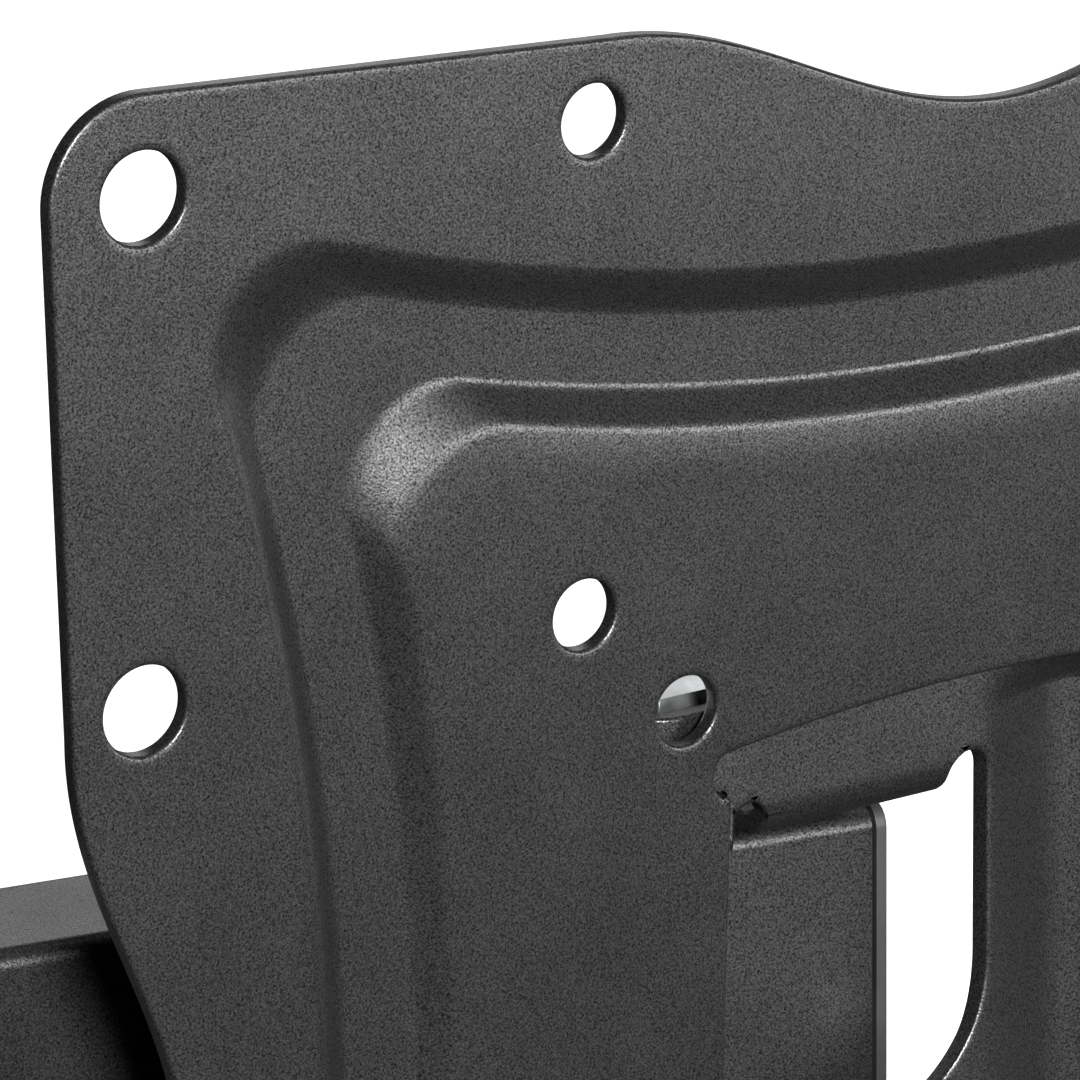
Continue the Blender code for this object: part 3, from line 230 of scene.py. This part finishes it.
def offset(loop, distance):
    """The loop moved sideways, to its left for a positive distance."""
    moved = []
    for before, here, after in zip(loop[-1:] + loop[:-1], loop, loop[1:] + loop[:1]):
        a = (Vector(here) - Vector(before)).normalized()
        b = (Vector(after) - Vector(here)).normalized()
        left = Vector((-a.y - b.y, a.x + b.x)).normalized()
        spread = max(left.dot(Vector((-a.y, a.x))), 0.5)
        moved.append(tuple(Vector(here) + left * (distance / spread)))
    return moved


# ---------------------------------------------------------------- sheet metal


def inside(point, loop):
    x, y = point
    found = False
    for (x0, y0), (x1, y1) in zip(loop, loop[1:] + loop[:1]):
        if (y0 > y) != (y1 > y) and x < x0 + (y - y0) * (x1 - x0) / (y1 - y0):
            found = not found
    return found


def blank(outline, holes=(), rings=(), lines=()):
    """Flat triangles over an outline less its holes; a ring is (loop, level) and marks a pressed line."""
    points, edges, levels = [], [], []
    for loop, level in [(outline, 0.0)] + [(hole, 0.0) for hole in holes] + list(rings):
        first = len(points)
        points += [Vector(point) for point in loop]
        levels += [level] * len(loop)
        edges += [(first + i, first + (i + 1) % len(loop)) for i in range(len(loop))]
    for start, end in lines:
        edges.append((len(points), len(points) + 1))
        points += [Vector(start), Vector(end)]
        levels += [0.0, 0.0]
    found, _, triangles, sources, *_ = delaunay_2d_cdt(points, edges, [], 0, MERGE)
    kept = []
    for triangle in triangles:
        middle = sum((found[i] for i in triangle), Vector((0, 0))) / 3
        if inside(middle, outline) and not any(inside(middle, hole) for hole in holes):
            kept.append(triangle)
    placed = [(x, y, levels[source[0]] if source else 0.0) for (x, y), source in zip(found, sources)]
    return placed, kept


def folded(patch, origin, along, out, turn, radius):
    points, triangles = patch
    origin, along, out, turn = (Vector(v) for v in (origin, along, out, turn))
    made = []
    for u, s, _ in points:
        angle = min(s / radius, QUARTER)
        past = max(s - radius * QUARTER, 0)
        curl = out * (radius * math.sin(angle)) + turn * (radius * (1 - math.cos(angle)) + past)
        made.append(origin + along * u + curl)
    return made, triangles


def fold_lines(radius, low, high):
    steps = [radius * QUARTER * i / BEND_SEGMENTS for i in range(1, BEND_SEGMENTS + 1)]
    return [((low, s), (high, s)) for s in steps]


def lug_patch(half_width, reach, radius, hole_radius, left_root=None, right_root=None):
    pin = reach - radius + radius * QUARTER
    end = arc((0, pin), half_width, 0, 180, HOLE_SEGMENTS // 2)
    lines = fold_lines(radius, -2 * half_width, 2 * half_width)
    straight = [(half_width, 0)]
    outline = (right_root or straight) + end + mirrored(left_root or straight)
    return blank(outline, [circle((0, pin), hole_radius)], lines=lines)


def ear_patch(z_low, z_high, reach, radius, ear_radius, hole_radius):
    pin = reach - radius + radius * QUARTER
    fold_end = radius * QUARTER
    end = arc((0, pin), ear_radius, -30, 210, HOLE_SEGMENTS // 2)
    outline = [(z_low, 0), (z_high, 0), (z_high, fold_end)] + end + [(z_low, fold_end)]
    return blank(outline, [circle((0, pin), hole_radius)], lines=fold_lines(radius, z_low, z_high))


def upright(patch, front=0.0, press=lambda x, z: 0.0):
    points, triangles = patch
    return [Vector((x, front + level + press(x, z), z)) for x, z, level in points], triangles


def finished(name, mesh, place, node, modifiers):
    """Apply a piece's modifiers, set it at its place, and let it stand for its CAD node."""
    draft = bpy.data.objects.new(name, mesh)
    bpy.context.scene.collection.objects.link(draft)
    for label, kind, settings in modifiers:
        added = draft.modifiers.new(label, kind)
        for key, value in settings.items():
            setattr(added, key, value)
    bpy.context.view_layer.update()
    result = bpy.data.meshes.new_from_object(draft.evaluated_get(bpy.context.evaluated_depsgraph_get()))
    bpy.data.objects.remove(draft)
    result.transform(place)
    result.name = name
    result.materials.clear()
    result.materials.append(MATERIALS[SLOT_OF[node]])
    piece = bpy.data.objects.new(name, result)
    bpy.context.scene.collection.objects.link(piece)
    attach(piece, BODY_OF[node])
    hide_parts(node)


def edge_modifiers(width, segments=3, angle=50):
    bevel = {
        "width": width,
        "segments": segments,
        "limit_method": "ANGLE",
        "angle_limit": math.radians(angle),
        "use_clamp_overlap": False,
        "miter_outer": "MITER_ARC",
    }
    return [("edges", "BEVEL", bevel), ("normals", "WEIGHTED_NORMAL", {"keep_sharp": True, "weight": 50})]


def sheet_piece(name, patches, thickness, facing, place, node):
    mesh = bmesh.new()
    for points, triangles in patches:
        corners = [mesh.verts.new(point) for point in points]
        for triangle in triangles:
            mesh.faces.new([corners[i] for i in triangle])
    bmesh.ops.remove_doubles(mesh, verts=mesh.verts, dist=MERGE)
    bmesh.ops.delete(mesh, geom=[v for v in mesh.verts if not v.link_faces], context="VERTS")
    bmesh.ops.recalc_face_normals(mesh, faces=mesh.faces)
    mesh.faces.ensure_lookup_table()
    if mesh.faces[0].normal.dot(Vector(facing)) < 0:
        bmesh.ops.reverse_faces(mesh, faces=mesh.faces)
    for face in mesh.faces:
        face.smooth = True
    data = bpy.data.meshes.new(name)
    mesh.to_mesh(data)
    mesh.free()
    shell = {"thickness": thickness, "offset": -1, "use_even_offset": True}
    return finished(name, data, place, node, [("sheet", "SOLIDIFY", shell)] + edge_modifiers(EDGE_ROUND))


# ---------------------------------------------------------------- materials


class Shader:
    """A Principled material and short helpers for the nodes that feed it."""

    def __init__(self, name):
        self.material = bpy.data.materials.new(name)
        self.material.use_nodes = True
        self.tree = self.material.node_tree
        self.shader = self.tree.nodes["Principled BSDF"]
        turned = self.tree.nodes.new("ShaderNodeMapping")  # no surface lies along the noise's grid
        turned.inputs["Rotation"].default_value = (0.65, 0.41, 0.93)
        place = self.tree.nodes.new("ShaderNodeTexCoord").outputs["Object"]
        self.tree.links.new(place, turned.inputs["Vector"])
        self.place = turned.outputs["Vector"]

    def link(self, source, target):
        self.tree.links.new(source, target)

    def set(self, name, value):
        self.shader.inputs[name].default_value = value

    def noise(self, scale, detail=2.0):
        node = self.tree.nodes.new("ShaderNodeTexNoise")
        node.inputs["Scale"].default_value = scale
        node.inputs["Detail"].default_value = detail
        node.inputs["Roughness"].default_value = 0.5
        self.link(self.place, node.inputs["Vector"])
        return node.outputs["Fac"]

    def cells(self, scale):
        node = self.tree.nodes.new("ShaderNodeTexVoronoi")
        node.feature = "SMOOTH_F1"
        node.inputs["Scale"].default_value = scale
        self.link(self.place, node.inputs["Vector"])
        return node.outputs["Distance"]

    def ramp(self, source, low, high, first, second):
        node = self.tree.nodes.new("ShaderNodeMapRange")
        node.inputs["From Min"].default_value = low
        node.inputs["From Max"].default_value = high
        node.inputs["To Min"].default_value = first
        node.inputs["To Max"].default_value = second
        self.link(source, node.inputs["Value"])
        return node.outputs["Result"]

    def blend(self, factor, first, second):
        node = self.tree.nodes.new("ShaderNodeMix")
        node.data_type = "RGBA"
        node.inputs["A"].default_value = (*first, 1)
        node.inputs["B"].default_value = (*second, 1)
        self.link(factor, node.inputs["Factor"])
        return node.outputs["Result"]

    def bump(self, height, distance, strength):
        node = self.tree.nodes.new("ShaderNodeBump")
        node.inputs["Strength"].default_value = strength
        node.inputs["Distance"].default_value = distance
        self.link(height, node.inputs["Height"])
        return node.outputs["Normal"]


def powder_coat(name, dark, light, roughness, specular):
    """Textured powder coat: pebbles a fifth of a millimetre apart, with shiny tops and dull hollows."""
    coat = Shader(name)
    pebbles = coat.noise(COAT_GRAIN, 1.0)
    waves = coat.noise(COAT_WAVES)
    tops = coat.ramp(pebbles, 0.28, 0.72, 0.0, 1.0)
    coat.link(coat.blend(tops, dark, light), coat.shader.inputs["Base Color"])
    coat.link(coat.ramp(waves, 0.3, 0.7, roughness - 0.02, roughness + 0.02), coat.shader.inputs["Roughness"])
    coat.link(coat.ramp(tops, 0.0, 1.0, 0.1 * specular, specular), coat.shader.inputs["Specular IOR Level"])
    coat.link(coat.bump(pebbles, COAT_RELIEF, 0.4), coat.shader.inputs["Normal"])
    return coat.material


def zinc():
    plate = Shader("bright_zinc_plate")
    blotches = plate.noise(ZINC_BLOTCHES, 3.0)
    fine = plate.noise(ZINC_GRAIN)
    colour = plate.blend(blotches, (0.52, 0.54, 0.56), (0.80, 0.81, 0.80))
    plate.link(colour, plate.shader.inputs["Base Color"])
    plate.set("Metallic", 1.0)
    plate.link(plate.ramp(blotches, 0.3, 0.7, 0.24, 0.42), plate.shader.inputs["Roughness"])
    plate.link(plate.bump(fine, ZINC_RELIEF, 0.5), plate.shader.inputs["Normal"])
    return plate.material


def moulded(name, dark, light, grain_scale):
    plastic = Shader(name)
    grain = plastic.cells(grain_scale)
    cloud = plastic.noise(PLASTIC_CLOUDS)
    plastic.link(plastic.blend(cloud, dark, light), plastic.shader.inputs["Base Color"])
    plastic.link(plastic.ramp(cloud, 0.3, 0.7, 0.40, 0.52), plastic.shader.inputs["Roughness"])
    plastic.link(plastic.bump(grain, PLASTIC_RELIEF, 0.5), plastic.shader.inputs["Normal"])
    return plastic.material


MATERIALS = {
    "powder_coat": powder_coat("black_textured_powder_coat", COAT_DARK, COAT_LIGHT, 0.35, 1.0),
    "zinc": zinc(),
    "plastic": moulded("black_moulded_plastic", (0.014, 0.014, 0.015), (0.024, 0.024, 0.025), 1500),
    "nylon": moulded("black_bearing_nylon", (0.018, 0.018, 0.018), (0.03, 0.03, 0.031), 2400),
}


# ---------------------------------------------------------------- pieces


def grid_holes(band=0.0):
    holes = []
    for x_size, z_size in (
        (GRID_LARGE, GRID_LARGE),
        (GRID_LARGE, GRID_MEDIUM),
        (GRID_MEDIUM, GRID_LARGE),
        (GRID_MEDIUM, GRID_MEDIUM),
        (GRID_SMALL, GRID_SMALL),
    ):
        radius = HOLE_LARGE_RADIUS if x_size == GRID_LARGE else HOLE_SMALL_RADIUS
        holes += [circle((x, z), radius + band) for x in (-x_size, x_size) for z in (-z_size, z_size)]
    return holes


def rolled(share):
    """Height at a share of the inner step's width, from 0 at its foot to 1: the area under its slope."""

    def area(limit):
        total = 0.0
        for (u0, s0), (u1, s1) in zip(RING_ROLL, RING_ROLL[1:]):
            if limit > u0:
                u = min(limit, u1)
                s = s0 + (s1 - s0) * (u - u0) / (u1 - u0)
                total += (s0 + s) / 2 * (u - u0)
        return total

    return area(share) / area(1.0)


def make_screen_plate():
    rings = []
    for step in range(RING_STEPS + 1):
        share = step / RING_STEPS
        middle = RING_OUTER_TOP + (RING_OUTER_FOOT - RING_OUTER_TOP) * share
        rings.append((ring_contour(middle), RING_DEPTH * share * share * (3 - 2 * share)))
    for step in range(ROLL_STEPS + 1):
        share = step / ROLL_STEPS
        middle = RING_INNER_FOOT + (RING_INNER_TOP - RING_INNER_FOOT) * share
        rings.append((ring_contour(middle), RING_DEPTH * (1 - rolled(share))))
    outline, cutout = plate_outline(), cutout_outline()
    for loop in (offset(outline, EDGE_BAND), offset(cutout, EDGE_BAND)):
        rings.append((loop, 0.0))
    rings += [(hole, 0.0) for hole in grid_holes(EDGE_BAND)]
    patch = upright(blank(outline, grid_holes() + [cutout], rings))
    sheet_piece("screen_plate_pressing", [patch], PLATE_SHEET, (0, -1, 0), PLATE_PLACE, "screen_plate")


def eased(share):
    """From 0 to 1 along a straight slope with rounded ends."""
    share = min(max(share, 0.0), 1.0)
    bend = 2 * GROOVE_ROUND * (1 - GROOVE_ROUND)
    if share < GROOVE_ROUND:
        return share * share / bend
    if share > 1 - GROOVE_ROUND:
        return 1 - (1 - share) * (1 - share) / bend
    return (share - GROOVE_ROUND / 2) / (1 - GROOVE_ROUND)


def groove(x, z):
    """How far the bracket's face is pressed back: a groove up from the lug that ends below the top edge."""
    past = x - GROOVE_START - GROOVE_LEFT
    across = 1 + (past / GROOVE_LEFT if past < 0 else -past / GROOVE_RIGHT)
    return GROOVE_DEPTH * eased(across) * eased((GROOVE_TOP - z) / (GROOVE_TOP - GROOVE_FULL))


def relief(x, radius, fold):
    """The round cut beside the lug, from the window's edge to where it meets the fold."""
    centre = (x, fold + RELIEF_RISE - radius)
    return arc(centre, radius, 180, math.degrees(math.asin((radius - RELIEF_RISE) / radius)), 20)


def root(radius):
    """The lug's edge through its fold, where the round cut beside it runs out."""
    depth = radius - RELIEF_RISE
    fold_step = LUG_BEND * QUARTER / BEND_SEGMENTS
    levels = [fold_step * i for i in range(BEND_SEGMENTS) if fold_step * (i + 0.3) < depth] + [depth]
    reach = LUG_HALF_WIDTH + radius
    return [(reach - math.sqrt(radius * radius - (depth - level) ** 2), level) for level in levels]


def make_head_bracket():
    stem_half = CUTOUT_HALF_WIDTH - HEAD_STEM_MARGIN
    left, right = HEAD_CENTRE - stem_half, HEAD_CENTRE + stem_half
    fold_left = HEAD_CENTRE - HEAD_EAR_FACE + EAR_BEND
    fold_right = HEAD_CENTRE + HEAD_EAR_FACE - EAR_BEND
    top_fold = PIVOT_INNER + LUG_BEND
    foot_fold = LUG_BEND - PIVOT_INNER - HEAD_SHEET
    lug = LUG_HALF_WIDTH
    window_right = lug + RELIEF_RIGHT_WIDTH
    tab_right = -lug - RELIEF_LEFT_WIDTH
    left_radius, right_radius = RELIEF_LEFT_WIDTH / 2, RELIEF_RIGHT_WIDTH / 2
    outline = [(fold_left, HEAD_TOP), (fold_left, HEAD_STEP_FOOT), (left, HEAD_STEP_FOOT)]
    outline += [(left, HEAD_TAB_FOOT), (tab_right, HEAD_TAB_FOOT)]
    outline += relief(tab_right + left_radius, left_radius, top_fold)
    outline += mirrored(relief(right_radius - window_right, right_radius, top_fold))
    outline += arc((0, WINDOW_CENTRE_HEIGHT), window_right, 0, -90, 36)
    outline += [(-lug, WINDOW_CENTRE_HEIGHT - window_right), (-lug, foot_fold)]
    outline += arc((window_right - right_radius, foot_fold), right_radius, 180, 0, 20)
    outline += [(window_right, -HEAD_FOOT)]
    corner = (right - HEAD_CORNER_RADIUS, HEAD_CORNER_RADIUS - HEAD_FOOT)
    outline += arc(corner, HEAD_CORNER_RADIUS, -90, 0, CORNER_SEGMENTS)
    outline += [(right, HEAD_STEP_FOOT), (fold_right, HEAD_STEP_FOOT), (fold_right, HEAD_TOP)]
    spread = GROOVE_LEFT + GROOVE_RIGHT
    groove_xs = [GROOVE_START + spread * i / GROOVE_STEPS for i in range(GROOVE_STEPS + 1)]
    above_relief, clear = top_fold + RELIEF_RISE + 1.5 * EDGE_BAND, window_right + 1.2 * EDGE_BAND
    lines = [((x, above_relief if x < clear else -HEAD_TOP), (x, 2 * HEAD_TOP)) for x in groove_xs]
    end_step = (GROOVE_TOP - GROOVE_FULL) / GROOVE_END_STEPS
    groove_zs = [GROOVE_FULL + end_step * i for i in range(GROOVE_END_STEPS + 1)]
    lines += [((GROOVE_START, z), (GROOVE_START + spread, z)) for z in groove_zs]
    front = -HEAD_WEB_FRONT
    web = upright(blank(outline, rings=[(offset(outline, EDGE_BAND), 0.0)], lines=lines), front, groove)
    lug_sizes = (lug, HEAD_WEB_FRONT, LUG_BEND, PIN_BORE)
    top_patch = lug_patch(*lug_sizes, root(left_radius), root(right_radius))
    foot_patch = lug_patch(*lug_sizes)
    across, back, down, up = (1, 0, 0), (0, 1, 0), (0, 0, -1), (0, 0, 1)
    top_lug = folded(top_patch, (0, front, top_fold), across, down, back, LUG_BEND)
    foot_lug = folded(foot_patch, (0, front, foot_fold), across, down, back, LUG_BEND)
    z_low, z_high = HEAD_STEP_FOOT - TILT_AXIS_HEIGHT, HEAD_TOP - TILT_AXIS_HEIGHT
    ear = ear_patch(z_low, z_high, TILT_AXIS_BEHIND_WEB, EAR_BEND, EAR_RADIUS, TILT_BORE)
    left_ear = folded(ear, (fold_left, front, TILT_AXIS_HEIGHT), up, (-1, 0, 0), back, EAR_BEND)
    right_ear = folded(ear, (fold_right, front, TILT_AXIS_HEIGHT), up, (1, 0, 0), back, EAR_BEND)
    patches = [web, top_lug, foot_lug, left_ear, right_ear]
    sheet_piece("head_bracket_pressing", patches, HEAD_SHEET, (0, -1, 0), HEAD_PLACE, "head_bracket")


def softened(node, width):
    """A CAD piece with its flat faces merged and its edges rounded."""
    mesh = bmesh.new()
    mesh.from_mesh(NODES[node].data)
    bmesh.ops.remove_doubles(mesh, verts=mesh.verts, dist=MERGE)
    bmesh.ops.dissolve_limit(
        mesh, angle_limit=math.radians(1), use_dissolve_boundaries=False, verts=mesh.verts, edges=mesh.edges
    )
    for face in mesh.faces:
        face.smooth = True
    data = bpy.data.meshes.new(node)
    mesh.to_mesh(data)
    mesh.free()
    modifiers = edge_modifiers(width, 2, SOFTENED_ANGLE)
    modifiers[0][2]["use_clamp_overlap"] = True
    finished(node + "_finished", data, Matrix.Identity(4), node, modifiers)


make_screen_plate()
make_head_bracket()
for node in NODES:
    if node not in ("screen_plate", "head_bracket"):
        softened(node, NUT_ROUND if node.startswith("tilt_nut") else SMALL_ROUND)


# ---------------------------------------------------------------- camera, floor and light


def studio_camera():
    """The viewing angle: from the left of the plate, a little above it, through a long lens."""
    yaw = Matrix.Rotation(-math.radians(CAMERA_YAW), 4, "Z")
    pitch = Matrix.Rotation(math.radians(90 - CAMERA_PITCH), 4, "X")
    roll = Matrix.Rotation(math.radians(CAMERA_ROLL), 4, "Z")
    data = bpy.data.cameras.new("camera")
    data.sensor_width, data.lens = 36.0, CAMERA_LENS
    data.clip_start, data.clip_end = 0.01, 100
    camera = bpy.data.objects.new("camera", data)
    camera.matrix_world = PLATE_PLACE @ Matrix.Translation(CAMERA_PLACE) @ yaw @ pitch @ roll
    bpy.context.scene.collection.objects.link(camera)
    bpy.context.scene.camera = camera


def softbox(name, azimuth, elevation, distance, width, height, power):
    """An area light that faces the plate; azimuth 0 is straight ahead of it and 90 is to its right."""
    a, e = math.radians(azimuth), math.radians(elevation)
    out = Vector((math.sin(a) * math.cos(e), -math.cos(a) * math.cos(e), math.sin(e)))
    data = bpy.data.lights.new(name, "AREA")
    data.shape, data.size, data.size_y, data.energy = "RECTANGLE", width, height, power
    lamp = bpy.data.objects.new(name, data)
    lamp.location = PLATE_PLACE.translation + out * distance
    lamp.rotation_euler = out.to_track_quat("Z", "Y").to_euler()
    bpy.context.scene.collection.objects.link(lamp)


def pale_floor():
    mesh = bmesh.new()
    bmesh.ops.create_grid(mesh, x_segments=1, y_segments=1, size=FLOOR_HALF)
    data = bpy.data.meshes.new("floor")
    mesh.to_mesh(data)
    mesh.free()
    floor = bpy.data.objects.new("floor", data)
    floor.location.z = CAD_BOX[0][2] - FLOOR_DROP
    bpy.context.scene.collection.objects.link(floor)
    paper = bpy.data.materials.new("pale_paper")
    paper.use_nodes = True
    shader = paper.node_tree.nodes["Principled BSDF"]
    shader.inputs["Base Color"].default_value = (0.9, 0.9, 0.9, 1)
    shader.inputs["Roughness"].default_value = 0.9
    shader.inputs["Emission Color"].default_value = (1, 1, 1, 1)
    shader.inputs["Emission Strength"].default_value = 1.0
    data.materials.append(paper)
    floor.visible_diffuse = floor.visible_glossy = False


def surroundings():
    world = bpy.data.worlds.new("studio")
    world.use_nodes = True
    sky = world.node_tree.nodes["Background"]
    sky.inputs["Color"].default_value = (1, 1, 1, 1)
    sky.inputs["Strength"].default_value = 0.05
    bpy.context.scene.world = world
    bpy.context.scene.view_settings.view_transform = "Standard"


studio_camera()
softbox("key", -24, 22, 1.2, 0.22, 0.22, 50)
softbox("side_soft", 28, 5, 1.0, 1.0, 0.26, 10.5)
softbox("right_soft", 100, -8, 1.4, 0.8, 0.5, 4)
softbox("rim_soft", 140, 22, 1.6, 1.0, 0.6, 3)
softbox("top_soft", 100, 57, 1.6, 0.5, 0.5, 1.2)
pale_floor()
surroundings()
